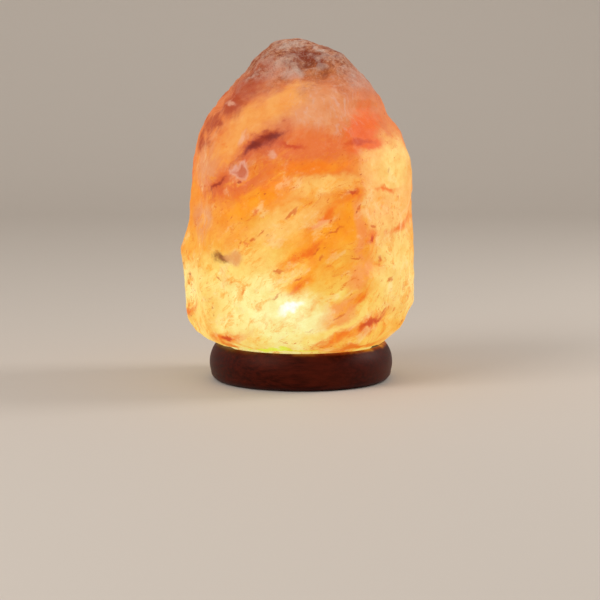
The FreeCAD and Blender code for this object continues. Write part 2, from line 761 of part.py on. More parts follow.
stem_top = S.filament_z - 10
bulb_stem = turned("bulb_stem", [
    (0, seal_z),
    (neck_r - skin, seal_z),
    (neck_r - skin, seal_z + 1),
    (2.0, seal_z + 6),
    (1.7, stem_top),
    (0, stem_top),
])
wire_t = S.wire_r * 2
wires = []
for side, label in ((-1, "left"), (1, "right")):
    wires.append(bent(f"wire_{label}", "XZ_Plane", [
        (1.3 * side, stem_top),
        (2.2 * side, stem_top + 3.5),
        (S.filament_x * side, S.filament_z),
    ], wire_t * side, wire_t))
bulb_wires = group("bulb_wires", wires)
FILAMENT_T = 0.35
bulb_filament = bent("bulb_filament", "XZ_Plane", [
    (-S.filament_x + 0.4, S.filament_z + 0.5),
    (S.filament_x * -0.5, S.filament_z + 1.5),
    (0, S.filament_z + 1.9),
    (S.filament_x * 0.5, S.filament_z + 1.5),
    (S.filament_x - 0.4, S.filament_z + 0.5),
], FILAMENT_T, FILAMENT_T)


# ---------------------------------------------------------------- checks and export

NODES = [
    salt_crystal, wood_base, foot_pad, crystal_screws, wall_plugs,
    clip_plate, clip_bridge, left_wing, right_wing, threaded_nipple, nipple_nut,
    holder_cap, holder_skirt, terminal_block, terminals, terminal_screws,
    centre_contact, side_contact, screw_sleeve,
    bulb_cap, bulb_contact, bulb_insulator, bulb_cement, bulb_glass,
    bulb_stem, bulb_wires, bulb_filament,
]

doc.recompute()
for thing in doc.Objects:
    if "Invalid" in thing.State or "Error" in thing.State:
        raise ValueError(f"{thing.Name}: {thing.State}")
os.makedirs("parts", exist_ok=True)
for node in NODES:
    shape = node.Shape
    if shape.isNull() or not shape.isValid() or not shape.Solids:
        raise ValueError(f"{node.Label}: not a sound solid")
    shape.exportStep(f"parts/{node.Label}.step")
    print(node.Label, len(shape.Solids), round(shape.Volume, 2))
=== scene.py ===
# %% [markdown]
# # Salt crystal lamp
# The real lamp is a lump of rock salt with a hole bored up into it. It stands on a turned
# wooden foot and a small bulb lights it from inside. The solids come packed, at their real size
# and in their real place, so this script never moves or edits them. It gives each one a finish,
# carves a finer rock out of a copy of the plain one, and paints the light that shows through.
# Everything is in metres, +Z is up and the front looks along -Y.

import json
import math

import bmesh
import bpy
import numpy as np
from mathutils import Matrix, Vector, noise


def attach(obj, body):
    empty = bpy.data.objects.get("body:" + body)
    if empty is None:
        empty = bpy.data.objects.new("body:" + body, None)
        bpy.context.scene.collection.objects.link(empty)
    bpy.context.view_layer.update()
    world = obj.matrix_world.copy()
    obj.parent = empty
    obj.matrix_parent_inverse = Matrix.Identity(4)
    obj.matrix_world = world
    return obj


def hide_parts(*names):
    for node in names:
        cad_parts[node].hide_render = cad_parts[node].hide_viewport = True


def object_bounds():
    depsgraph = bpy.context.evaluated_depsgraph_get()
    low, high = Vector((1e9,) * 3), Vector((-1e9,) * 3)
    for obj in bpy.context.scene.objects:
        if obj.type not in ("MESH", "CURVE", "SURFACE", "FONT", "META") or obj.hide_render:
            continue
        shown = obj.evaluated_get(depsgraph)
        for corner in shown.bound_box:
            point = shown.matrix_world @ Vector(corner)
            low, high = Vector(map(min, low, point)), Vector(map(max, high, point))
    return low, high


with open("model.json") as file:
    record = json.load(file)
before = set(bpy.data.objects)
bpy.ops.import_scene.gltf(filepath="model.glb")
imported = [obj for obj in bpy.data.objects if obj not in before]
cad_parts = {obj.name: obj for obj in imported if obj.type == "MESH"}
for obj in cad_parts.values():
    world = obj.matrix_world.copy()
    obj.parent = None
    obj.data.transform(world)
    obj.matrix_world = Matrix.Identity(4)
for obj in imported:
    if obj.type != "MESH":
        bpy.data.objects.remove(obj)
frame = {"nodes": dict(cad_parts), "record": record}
CAD_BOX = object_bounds()
nodes = frame["nodes"]
MM = 0.001
print("solids:", len(nodes), "box:", CAD_BOX)

# %% [markdown]
# ## A small language for shaders
# A finish is a graph of nodes. It could be drawn by hand in the shader editor, but then the
# script couldn't make it again. It could be written with one call for each node and each link,
# but that hides what the graph says. Here one function builds any node: its settings go first,
# because some of them change which sockets the node has, and then the values and the links.

# %% Building a node


def plug(tree, slot, value):
    """Join a wire to a socket, or set the socket's own value."""
    if isinstance(value, Wire):
        tree.links.new(value.socket, slot)
        return
    wide = hasattr(slot.default_value, "__len__")
    if wide and not hasattr(value, "__len__"):
        slot.default_value = [value] * len(slot.default_value)
    elif wide and len(slot.default_value) == 4 and len(value) == 3:
        slot.default_value = (*value, 1.0)
    else:
        slot.default_value = value


def set_stops(node, stops):
    """The stops of a colour ramp, each a place from 0 to 1 and a colour."""
    elements = node.color_ramp.elements
    while len(elements) < len(stops):
        elements.new(0.5)
    for element, (place, colour) in zip(elements, stops):
        element.position = place
        element.color = (*colour, 1.0)


def build(tree, kind, settings, sockets, output=0):
    """Any node: its settings first, then its sockets by name or number."""
    node = tree.nodes.new(kind)
    for key, value in settings.items():
        if key == "stops":
            set_stops(node, value)
        else:
            setattr(node, key, value)
    for key, value in sockets.items():
        plug(tree, node.inputs[key], value)
    return Wire(tree, node.outputs[output])


print("nodes can be built")

# %% [markdown]
# ## Sums on sockets
# Most of a finish is arithmetic on masks. Math nodes made one by one would bury it, so a socket
# is wrapped in a class that says what plus, minus and times do, also with the number in front,
# so that 1 - mask works. Numbers alone are worked out in Python and cost no node. Colours go
# through a Mix node instead, because a Math node turns a colour grey.

# %% A socket that does sums


class Wire:
    """A socket that can be used in arithmetic."""

    def __init__(self, tree, socket):
        self.tree = tree
        self.socket = socket

    def math(self, operation, *others, clamp=False):
        settings = {"operation": operation, "use_clamp": clamp}
        return build(self.tree, "ShaderNodeMath", settings, dict(enumerate((self, *others))))

    def vector(self, operation, other=None, output=0):
        sockets = {0: self}
        if other is not None:
            sockets["Scale" if operation == "SCALE" else 1] = other
        return build(self.tree, "ShaderNodeVectorMath", {"operation": operation}, sockets, output)

    def __add__(self, other):
        return self.math("ADD", other)

    __radd__ = __add__

    def __sub__(self, other):
        return self.math("SUBTRACT", other)

    def __rsub__(self, other):
        return (self * -1) + other

    def __mul__(self, other):
        return self.math("MULTIPLY", other)

    __rmul__ = __mul__

    def highest(self, other):
        """The larger of two values at each point."""
        return self.math("MAXIMUM", other)

    def clamped(self):
        return self.math("ADD", 0.0, clamp=True)

    def smooth(self, low, high):
        """0 below low, 1 above high, a smooth step between; low above high turns it round."""
        turned = low > high
        sockets = {
            "Value": self,
            "From Min": min(low, high),
            "From Max": max(low, high),
            "To Min": 1.0 if turned else 0.0,
            "To Max": 0.0 if turned else 1.0,
        }
        settings = {"interpolation_type": "SMOOTHSTEP"}
        return build(self.tree, "ShaderNodeMapRange", settings, sockets, "Result")

    def ramp(self, stops):
        """A colour for each value from 0 to 1."""
        return build(self.tree, "ShaderNodeValToRGB", {"stops": stops}, {0: self})

    def along(self, x, y, z):
        """How far a point lies in one direction."""
        return self.vector("DOT_PRODUCT", (x, y, z), output=1)


print("sockets do sums")

# %% [markdown]
# ## One class for every finish
# Each finish here is one Principled node with patterns in front of it. Node groups could hold
# what they share, but a value inside a group is hard to find again. A class keeps the shared
# makers in Python: the point on the piece, a cloudy noise, a blend of two colours, a bump. All
# patterns read object coordinates, so they move with the piece and need no unwrapping.

# %% A finish


class Shader:
    """A material on one Principled node, with makers for the other nodes it needs."""

    def __init__(self, name, **sockets):
        self.material = bpy.data.materials.new(name)
        self.material.use_nodes = True
        self.tree = self.material.node_tree
        self.principled = self.tree.nodes["Principled BSDF"]
        self.set(**sockets)

    def set(self, **sockets):
        """Set or join sockets by name: base_color is the socket Base Color."""
        for name, value in sockets.items():
            title = name.replace("_", " ").title().replace("Ior", "IOR")
            plug(self.tree, self.principled.inputs[title], value)

    def node(self, kind, output=0, settings=None, **sockets):
        """Any other node, with its sockets given by name."""
        titled = {name.replace("_", " ").title(): value for name, value in sockets.items()}
        return build(self.tree, kind, settings or {}, titled, output)

    def place(self):
        """The point on the piece, in millimetres."""
        return self.node("ShaderNodeTexCoord", output="Object").vector("SCALE", 1000.0)

    def noise(self, point, scale, detail=3.0, roughness=0.5):
        """A cloudy pattern around 0.5; its lumps are about 1 / scale wide."""
        sockets = {"vector": point, "scale": scale, "detail": detail, "roughness": roughness}
        return self.node("ShaderNodeTexNoise", **sockets)

    def stray(self, point, scale, amount, detail, roughness=0.5):
        """The point pushed about by three noises, one for each axis."""
        scales = [scale * share for share in (1.0, 1.1, 0.9)]
        pushes = [self.noise(point, one, detail, roughness) - 0.5 for one in scales]
        push = self.node("ShaderNodeCombineXYZ", x=pushes[0], y=pushes[1], z=pushes[2])
        return point.vector("ADD", push.vector("SCALE", amount))

    def mix(self, factor, first, second, kind="MIX"):
        """Blend two colours; sockets 6 and 7 are the node's two colours."""
        settings = {"data_type": "RGBA", "blend_type": kind, "clamp_factor": True}
        sockets = {0: factor, 6: first, 7: second}
        return build(self.tree, "ShaderNodeMix", settings, sockets, output=2)

    def dimmed(self, colour, share):
        """A colour times a number from 0 to 1."""
        return self.mix(share, (0.0, 0.0, 0.0), colour)

    def bump(self, height, distance, strength):
        normal = self.node("ShaderNodeBump", strength=strength, distance=distance, height=height)
        self.set(normal=normal)


print("finishes can be made")

# %% [markdown]
# ## A rock that can be carved
# The real rock was broken out of a seam and hewn by hand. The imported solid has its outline, its
# steps and the bored hollow, but its faces are large, flat and uneven. Subdividing it would
# keep that unevenness, and sculpting by hand can't be repeated by a script. So a copy is closed
# and remeshed with a voxel Remesh modifier into small faces of one size, which can be carved
# anywhere. The voxels are 1.2 mm, which keeps the piece under 200,000 triangles.

# %% Copy of the rock


def rock_copy():
    """A closed copy of the rock with small even faces."""
    source = nodes["salt_crystal"]
    mesh = bpy.data.meshes.new("rock")
    work = bmesh.new()
    work.from_mesh(source.data)
    bmesh.ops.remove_doubles(work, verts=work.verts, dist=1e-6)
    work.to_mesh(mesh)
    work.free()
    rock = bpy.data.objects.new("rock", mesh)
    bpy.context.scene.collection.objects.link(rock)
    even = rock.modifiers.new("even", "REMESH")
    even.mode = "VOXEL"
    even.voxel_size = 1.2 * MM
    seen = rock.evaluated_get(bpy.context.evaluated_depsgraph_get())
    fixed = bpy.data.meshes.new_from_object(seen)
    rock.modifiers.clear()
    rock.data = fixed
    rock.data.name = "rock"
    return rock


rock = rock_copy()
print("rock faces:", len(rock.data.polygons))

# %% [markdown]
# ## What may be carved
# Tools made the flat underside and the hollow for the bulb, so both stay as they are and only
# the outside is carved. The parts could be told apart by vertex groups painted by hand, but a
# rule on height and radius needs no painting. The carving works in millimetres on whole arrays
# of points, which is much faster in Python than one point at a time.

# %% The skin of the rock

HOLLOW_R = 24.0  # radius of the bored hollow
HOLLOW_CLEAR_Z = 130.0  # well above the hollow, so that its ceiling isn't carved
SAWN_Z = 24.5  # below this height the rock stays as it was sawn


def step(value, low, high):
    """A smooth step from 0 at low to 1 at high."""
    t = np.clip((value - low) / (high - low), 0, 1)
    return t * t * (3 - 2 * t)


def read(mesh, name):
    """Points or normals of a mesh as rows of x, y and z."""
    flat = np.empty(len(mesh.vertices) * 3)
    mesh.vertices.foreach_get(name, flat)
    return flat.reshape(-1, 3)


def write(mesh, points):
    """Give a mesh its points back, from millimetres."""
    mesh.vertices.foreach_set("co", (points * MM).ravel())
    mesh.update()


def skin_of(points):
    """1 on the outside of the rock, 0 on the sawn underside and in the hollow."""
    radius = np.hypot(points[:, 0], points[:, 1])
    skin = step(points[:, 2], SAWN_Z - 2, SAWN_Z + 5)
    return np.where((radius < HOLLOW_R + 2) & (points[:, 2] < HOLLOW_CLEAR_Z), 0, skin)


print("points on the skin:", int((skin_of(read(rock.data, "co") / MM) > 0.5).sum()))

# %% [markdown]
# ## Soft edges
# Salt drinks water from the air, so its sharp edges go first. A Bevel modifier needs clean
# edges, and a remeshed rock has none, so its points are smoothed instead, a few rounds at a
# time. Smoothing shrinks a shape. That is why the reach of the solid to its four sides is noted
# at each level beforehand, and given back after the carving.

# %% Softened rock

LEVELS = np.arange(27.0, 205.0, 3.0)
LEVEL_BAND = 2.2  # how far from a level a point may be to count for it
HOLLOW_MARGIN = 3


def outline(points):
    """The furthest left, front, right and back of the rock at each level."""
    rows = [points[np.abs(points[:, 2] - level) < LEVEL_BAND, :2] for level in LEVELS]
    return np.array([[*row.min(0), *row.max(0)] for row in rows])


def soften(mesh, rounds):
    """Round the edges of the rock outside the hollow."""
    work = bmesh.new()
    work.from_mesh(mesh)
    outer = [v for v in work.verts if v.co.z > SAWN_Z * MM]
    edge = (HOLLOW_R + HOLLOW_MARGIN) * MM
    outer = [v for v in outer if v.co.z > HOLLOW_CLEAR_Z * MM or v.co.xy.length > edge]
    all_ways = {"use_axis_x": True, "use_axis_y": True, "use_axis_z": True}
    for _ in range(rounds):
        bmesh.ops.smooth_vert(work, verts=outer, factor=0.5, **all_ways)
    work.to_mesh(mesh)
    work.free()


solid_outline = outline(read(rock.data, "co") / MM)
soften(rock.data, 10)
print("levels noted:", len(LEVELS))

# %% [markdown]
# ## Struck flakes
# A hammer leaves shallow, flat scars where flakes came off. Boolean cuts would make them, but
# 150 cuts are slow and leave slivers. Here every point that stands over a tilted plane is
# pressed down to it, within a short reach and by 2 mm at most for one flake, which gives the
# same flat scar with a soft rim. The dice have a fixed seed, so that the rock is the same on
# each run.

# %% Flakes

FLAKE_HEIGHTS = (34, 196)
FLAKE_DEPTHS = (0.3, 1.2)
FLAKE_REACH = (26, 18)  # a flake ends at the first and is at its full depth at the second
FLAKE_LEAN = 0.07  # how much its plane leans away from the skin
DEEPEST_CUT = 2.0
BODY_RADIUS = 70
SHOULDER_Z = 150  # above this height the rock gets narrower
SHOULDER_SLOPE = 1.1
GENTLE_Z = 160  # above this height the flakes are half as deep
OFF_LIMITS = 1e6  # added off the skin, so that no point there is picked


def strike_flakes(mesh, count, seed):
    """Flatten the rock along planes that lie a little under its skin."""
    points = read(mesh, "co") / MM
    normals = read(mesh, "normal")
    skin = skin_of(points)
    dice = np.random.default_rng(seed)
    for _ in range(count):
        angle = dice.uniform(0, 2 * math.pi)
        height = dice.uniform(*FLAKE_HEIGHTS)
        reach = BODY_RADIUS - max(height - SHOULDER_Z, 0) * SHOULDER_SLOPE
        aim = np.array([reach * math.cos(angle), reach * math.sin(angle), height])
        at = int(np.argmin(((points - aim) ** 2).sum(1) + (1 - skin) * OFF_LIMITS))
        facing = normals[at] + dice.normal(0, FLAKE_LEAN, 3)
        facing /= np.linalg.norm(facing)
        depth = dice.uniform(*FLAKE_DEPTHS) * (1.0 if height < GENTLE_Z else 0.5)
        away = points - points[at]
        over = away @ facing + depth
        near = step(np.linalg.norm(away, axis=1), *FLAKE_REACH)
        points -= facing * (np.clip(over, 0, DEEPEST_CUT) * near * skin)[:, None]
    write(mesh, points)


strike_flakes(rock.data, 150, 11)
print("flakes struck")

# %% [markdown]
# ## Lumps and hollows
# Between the scars the skin swells and dips, more so on the crown. A Displace modifier with a
# texture could do it, but it wouldn't keep off the hollow or stay inside the solid's own box.
# So the points are moved along their normals by noise, which is worked out in space and has no
# seam, and a short list gives the dips and bumps that can be told apart on the front.

# %% Lumps

CROWN_Z = 178.0  # the thick, crusted crown starts about here
BOX_MARGIN = 0.05

# Dips on the front: (x, z), (half width, half height), tilt in degrees, depth in millimetres.
HOLLOWS = [
    ((4, 196.5), (11, 4.6), -10, 2.4),
    ((-12, 203), (12, 5), 20, -1.0),
    ((22, 199), (9, 4), -14, -0.8),
    ((12, 206.5), (4, 2.5), -20, 1.2),
    ((-27, 145), (15, 2.4), 36, 1.5),
    ((-36.9, 133.6), (4.6, 4.0), 0, -1.0),
    ((-36.9, 133.6), (2.6, 2.2), 0, 1.9),
    ((-48, 124), (12, 1.8), 46, 0.8),
    ((-46, 82), (3.4, 3.0), 0, 0.8),
    ((42, 141), (8, 3.6), 0, 1.0),
    ((16, 64), (3, 30), 4, 0.7),
    ((-42, 178), (26, 5), 52, 1.6),
    ((20, 180), (20, 9), 0, 0.9),
]


def field(points, scale, seed, kind="smooth"):
    """A noise value at each point; scale is the size of a lump in millimetres."""
    shift = Vector((seed * 17.3, seed * -9.1, seed * 5.7))
    values = {
        "smooth": noise.noise,
        "rough": lambda spot: noise.fractal(spot, 0.8, 2.1, 4),
        "scallop": lambda spot: min(noise.voronoi(spot)[0][0], 1.0),
    }
    return np.array([values[kind](Vector(point) / scale + shift) for point in points])


def hollows(points, wobble):
    """How deep the listed hollows go at each point of the front."""
    depth = np.zeros(len(points))
    front = step(points[:, 1], 0, -12)
    for (x, z), (wide, high), tilt, amount in HOLLOWS:
        turn = math.radians(tilt)
        aside, up = points[:, 0] - x, points[:, 2] - z
        across = aside * math.cos(turn) + up * math.sin(turn)
        along = up * math.cos(turn) - aside * math.sin(turn)
        away = np.hypot(across / wide, along / high) + wobble * 0.5
        depth += amount * step(away, 1.25, 0.35) * front
    return depth


def lumps(points, crown):
    """Swells 32 mm wide, lumps 13 mm wide and scallops 10 mm wide, less the hollows."""
    depth = field(points, 32, 1) * 1.4
    depth += field(points * [0.8, 1, 1.3], 13, 2) * 0.8
    depth += (field(points * [1, 1, 1.2], 10, 3, "scallop") - 0.45) * (0.3 + 0.9 * crown)
    return depth - hollows(points, field(points, 6, 6))


def move_skin(mesh, depth_at):
    """Move every outer point along its normal; nothing leaves the solid's own box."""
    points = read(mesh, "co") / MM
    crown = step(points[:, 2], CROWN_Z - 24, CROWN_Z + 14)
    depth = depth_at(points, crown) * skin_of(points)
    points = points + read(mesh, "normal") * depth[:, None]
    low, high = (np.array(corner) / MM for corner in CAD_BOX)
    write(mesh, np.clip(points, low + BOX_MARGIN, high - BOX_MARGIN))


move_skin(rock.data, lumps)
print("lumps raised, hollows pressed:", len(HOLLOWS))

# %% [markdown]
# ## The outline given back
# Carving has eaten into the outline that the solid had. Scaling the whole rock up would spoil
# its hollow and its seat, so each side is eased out on its own: the gap at each level is
# blended with its neighbours, and it moves the points near that side and leaves the middle.

# %% Outline held

SIDE_STARTS = 0.3  # as a share of the way out; nearer the middle nothing moves


def hold_outline(mesh, wanted):
    """Ease the four sides back to the outline of the solid."""
    for _ in range(2):
        points = read(mesh, "co") / MM
        skin = skin_of(points)
        now = outline(points)
        for column in range(4):
            axis = column % 2
            gap = np.pad((wanted - now)[:, column], 1, "edge")
            gap = np.convolve(gap, (0.25, 0.5, 0.25), "valid")
            miss = np.interp(points[:, 2], LEVELS, gap)
            furthest = np.interp(points[:, 2], LEVELS, now[:, column])
            side = step(points[:, axis] / furthest, SIDE_STARTS, 1.0)
            points[:, axis] += miss * side * skin
        write(mesh, points)


hold_outline(rock.data, solid_outline)
soften(rock.data, 4)
miss = np.abs(outline(read(rock.data, "co") / MM) - solid_outline)
print("outline misses by at most", round(float(miss.max()), 1), "mm")

# %% [markdown]
# ## Grain
# Close up, broken salt is granular, and the crust of the crown more than the clean faces. Bump
# in the material does the finest of it. Grain of two to five millimetres also shows against the
# light and on the rim, so it is moved in the mesh, with two sizes of rough noise.

# %% Grain and the finished piece


def grain(points, crown):
    """Grain of two sizes, about twice as strong on the crown."""
    depth = field(points, 5, 4, "rough") * (0.22 + 0.30 * crown)
    return depth + field(points, 2.4, 5, "rough") * (0.12 + 0.16 * crown)


move_skin(rock.data, grain)
rock.data.shade_smooth()
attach(rock, "lamp_body")
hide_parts("salt_crystal")
print("rock carved:", len(rock.data.polygons), "faces")

# %% [markdown]
# ## Painted shade in hollows
# The crown is painted darker in its hollows as painted shade, and paler on its edges as a painted
# highlight. The Pointiness output of the Geometry node shows hollows in one renderer only, so
# they are measured here: the mesh is blurred, and a point that lies under the blurred mesh is in
# a hollow. The result is kept on the points as an attribute named sunk, which the material can
# read.

# %% Hollows marked

DEEP_PIT = 0.8  # a pit this deep, in millimetres, gets the full mark


def mark_hollows(mesh, rounds):
    """Keep on each point how much it lies in a hollow, from -1 on an edge to 1 in a pit."""
    points = read(mesh, "co") / MM
    edges = np.empty(len(mesh.edges) * 2, dtype=np.int64)
    mesh.edges.foreach_get("vertices", edges)
    edges = edges.reshape(-1, 2)
    share = np.bincount(edges.ravel(), minlength=len(points))[:, None]
    soft = points
    for _ in range(rounds):
        total = np.zeros_like(soft)
        np.add.at(total, edges[:, 0], soft[edges[:, 1]])
        np.add.at(total, edges[:, 1], soft[edges[:, 0]])
        soft = soft * 0.5 + total / share * 0.5
    sunk = ((soft - points) * read(mesh, "normal")).sum(1)
    mark = mesh.attributes.new("sunk", "FLOAT", "POINT")
    mark.data.foreach_set("value", np.clip(sunk / DEEP_PIT, -1, 1).astype(np.float32))
    return sunk


sunk_by = mark_hollows(rock.data, 20)
print("deepest pit:", round(float(sunk_by.max()), 2), "mm")

# %% [markdown]
# ## Salt: a space that is bent
# No line in real salt is straight: layers waver and the edges of stains are torn. Each pattern
# could get its own distortion, but then neighbours would cross. Instead the point itself is
# pushed about before any pattern reads it, a little for bent and more for strayed, and all the
# patterns waver together. The layers climb to the right, so a Mapping node lays a pattern along
# them. Its TEXTURE type turns first and stretches after, which POINT does the other way round.

# %% Salt: points to draw on

LAYER_TILT = 36.0  # how steeply the layers climb, in degrees
VEIN_TILT = 33.0  # thin veins lie a little flatter

salt = Shader("salt", ior=1.54, specular_ior_level=0.2)
place = salt.place()
bent = salt.stray(place, 0.045, 16.0, detail=2.0)
strayed = salt.stray(bent, 0.16, 7.0, detail=4.0, roughness=0.62)


def laid(point, rotation, scale, location=(0.0, 0.0, 0.0)):
    """The point as seen from a pattern that is moved, turned and stretched."""
    settings = {"vector_type": "TEXTURE"}
    sockets = {"vector": point, "location": location, "rotation": rotation, "scale": scale}
    return salt.node("ShaderNodeMapping", settings=settings, **sockets)


def layers(stretch, turn=LAYER_TILT, point=place):
    """The point in the rock's own layers; patterns are drawn out along them."""
    return laid(point, (0.0, -math.radians(turn), 0.0), (stretch, 1.0, 1.0))


feather = salt.noise(layers(2.4), 0.24, detail=7.0, roughness=0.72) - 0.5
print("salt nodes:", len(salt.tree.nodes))

# %% [markdown]
# ## Salt: the light from inside
# Salt filters the light of the bulb: the further it travels, the less blue and then green is
# left, so it goes from pale yellow to orange to a dark red. Subsurface or volume shading with a
# real lamp inside would show that, but it is slow and noisy and an exported model loses it.
# Here the distance from the bulb picks a colour from a ramp, and that colour is emitted. Two
# cloudy noises make the way longer or shorter, because the salt isn't equally clear everywhere.

# %% Salt: glow

BULB = (-4.0, 0.0, 50.0)
CLOUDINESS = 34.0  # how many millimetres the clouds add to the way or take from it

# Colour of the clear salt against the way the light has come, in millimetres.
GLOW = [
    (55.0, (0.98, 0.84, 0.31)),
    (61.0, (0.97, 0.72, 0.18)),
    (68.0, (0.96, 0.56, 0.09)),
    (78.0, (0.95, 0.44, 0.050)),
    (90.0, (0.94, 0.34, 0.035)),
    (104.0, (0.90, 0.27, 0.030)),
    (120.0, (0.84, 0.22, 0.035)),
    (138.0, (0.78, 0.20, 0.045)),
    (156.0, (0.70, 0.19, 0.060)),
    (180.0, (0.46, 0.11, 0.040)),
]

height = place.along(0.0, 0.0, 1.0)
from_bulb = place.vector("SUBTRACT", BULB).vector("MULTIPLY", (1.0, 1.0, 1.2))
reach = from_bulb.vector("LENGTH", output=1)
cloud = salt.noise(place, 0.03, detail=2.0) - 0.5
veil = salt.noise(layers(2.4), 0.075, detail=5.0, roughness=0.62) - 0.5
travelled = reach + cloud * CLOUDINESS + veil * CLOUDINESS
near, far = GLOW[0][0], GLOW[-1][0]
share = (travelled - near) * (1.0 / (far - near))
paint = share.clamped().ramp([((way - near) / (far - near), colour) for way, colour in GLOW])
print("glow stops:", len(GLOW))

# %% [markdown]
# ## Salt: zones
# Iron stains whole bands of the rock, and clear windows lie between them. They could be painted
# on an image, but that needs an unwrapped rock and a picture file. A tilted oval on one side of
# the rock needs neither: a spherical Gradient Texture, moved and stretched by a Mapping node,
# is 1 at its middle and 0 at its rim, and a noise tears its edge. Several ovals make one zone,
# by taking the highest value of all of them.

# %% Salt: painting ovals

FACE_Y = -58.0  # the ovals are centred this far in front of the axis
REACH = 2.5  # the gradient runs past the oval by this factor, to leave room for its soft edge
OVAL_DEPTH = 60.0  # half depth, so that an oval stays on its own side of the rock

turned_to = {}


def zone(face, spot, size, tilt, softness, ragged):
    """How far a point is inside a tilted oval on one face of the rock."""
    if face not in turned_to:
        turned_to[face] = salt.node(
            "ShaderNodeMapping", vector=strayed, rotation=(0.0, 0.0, math.radians(-face))
        )
    centre = (spot[0], FACE_Y, spot[1])
    wide = (size[0] * REACH, OVAL_DEPTH * REACH, size[1] * REACH)
    local = laid(turned_to[face], (0.0, -math.radians(tilt), 0.0), wide, centre)
    settings = {"gradient_type": "SPHERICAL"}
    inside = salt.node("ShaderNodeTexGradient", "Fac", settings, vector=local)
    edge = inside - feather * (ragged / REACH)
    return edge.smooth(1.0 - (1.0 + softness) / REACH, 1.0 - (1.0 - softness) / REACH)


def painted(paint, zones):
    """The paint with a list of zones laid over it."""
    for _, colour, strength, softness, ragged, face, spots in zones:
        mask = None
        for spot, size, tilt in spots:
            one = zone(face, spot, size, tilt, softness, ragged)
            mask = one if mask is None else mask.highest(one)
        paint = salt.mix(mask * strength, paint, colour)
    return paint


print("ovals can be painted")

# %% [markdown]
# ## Salt: the front
# From the front the rock is lemon yellow low at the left, amber and honey in the middle and
# salmon above, with a pale flat facet at the right and rust in between. The zones are laid from
# the broad and pale ones to the narrow and red ones, because a later one covers an earlier one.
# One oval would look like an egg, so each zone is made of several that overlap.

# %% Salt: zones of the front

# Each zone: name, colour, strength, softness, raggedness, face (0 is the front, 90 the right
# side), then its ovals as (x, z), (half width, half height), tilt in degrees.
FRONT_ZONES = [
    ("lemon", (0.99, 0.86, 0.32), 0.9, 0.6, 1.2, 0, [
        ((-20, 47), (32, 13), 8), ((-34, 60), (22, 11), 22),
    ]),
    ("yellow", (0.99, 0.66, 0.16), 0.8, 0.6, 1.4, 0, [
        ((-34, 78), (26, 11), 10), ((60, 74), (10, 30), 0), ((-58, 52), (12, 18), 0),
        ((30, 44), (20, 8), 20),
    ]),
    ("apricot", (0.98, 0.52, 0.12), 0.9, 0.5, 1.1, 0, [
        ((52, 134), (16, 20), 0), ((57, 108), (12, 14), 0), ((14, 122), (24, 6), 10),
        ((-8, 104), (20, 8), 24),
    ]),
    ("peach", (0.80, 0.32, 0.13), 0.85, 0.5, 1.0, 0, [
        ((-57, 131), (8, 17), -5), ((4, 170), (26, 13), 10), ((-61, 100), (6, 12), 0),
    ]),
    ("honey", (0.90, 0.35, 0.07), 0.9, 0.5, 1.2, 0, [
        ((-32, 157), (26, 9), 42), ((-12, 171), (18, 8), 38),
    ]),
    ("salmon", (0.80, 0.17, 0.035), 0.95, 0.5, 1.1, 0, [
        ((0, 144), (34, 11), 6), ((-38, 126), (24, 11), 30),
    ]),
    ("flame", (0.96, 0.22, 0.006), 0.85, 0.6, 1.4, 0, [
        ((8, 133), (24, 5), 6), ((-22, 119), (14, 6), 20),
    ]),
    ("amber", (0.99, 0.32, 0.006), 0.85, 0.7, 2.0, 0, [
        ((12, 90), (30, 9), 38), ((0, 68), (14, 4.5), 38), ((30, 108), (12, 6), 40),
        ((-30, 112), (16, 4), 30),
    ]),
    # Painted light: the facet and sun ovals make the flat face at the right paler and yellower,
    # because the light from inside comes out more brightly through that face.
    ("facet", (0.98, 0.50, 0.13), 0.85, 0.22, 0.35, 0, [((56, 118), (20, 34), 2)]),
    ("sun", (0.98, 0.66, 0.18), 0.8, 0.5, 1.0, 0, [
        ((56, 132), (11, 14), 0), ((58, 72), (14, 26), 0),
    ]),
    ("rose", (0.93, 0.30, 0.07), 0.85, 0.5, 1.2, 0, [
        ((34, 71), (7, 11), -34), ((34, 98), (3.6, 22), 0), ((22, 50), (12, 6), 40),
    ]),
    ("rust", (0.90, 0.17, 0.008), 0.95, 0.8, 2.4, 0, [
        ((37, 41), (15, 3.6), 32), ((-43, 33), (9, 3), 14), ((60, 98), (9, 2.4), 38),
        ((43, 93), (4.5, 4), 20), ((24, 33), (14, 3), 18), ((35, 58), (6, 2), 35),
        ((50, 120), (7, 1.4), -8), ((31, 116), (5, 2), 34), ((2, 84), (12, 2), 38),
        ((-2, 64), (9, 1.8), 40), ((12, 104), (9, 1.6), 36),
    ]),
]

paint = painted(paint, FRONT_ZONES)
print("salt nodes:", len(salt.tree.nodes))

# %% [markdown]
# ## Salt: the other sides
# A rock that is rich only in front looks like a mask when it is turned. The back and both sides
# get the same kinds of zone, in the same colours, in places of their own. Mirroring the front
# would be less work, but the eye finds a mirrored rock at once.

# %% Salt: zones of the back and the sides

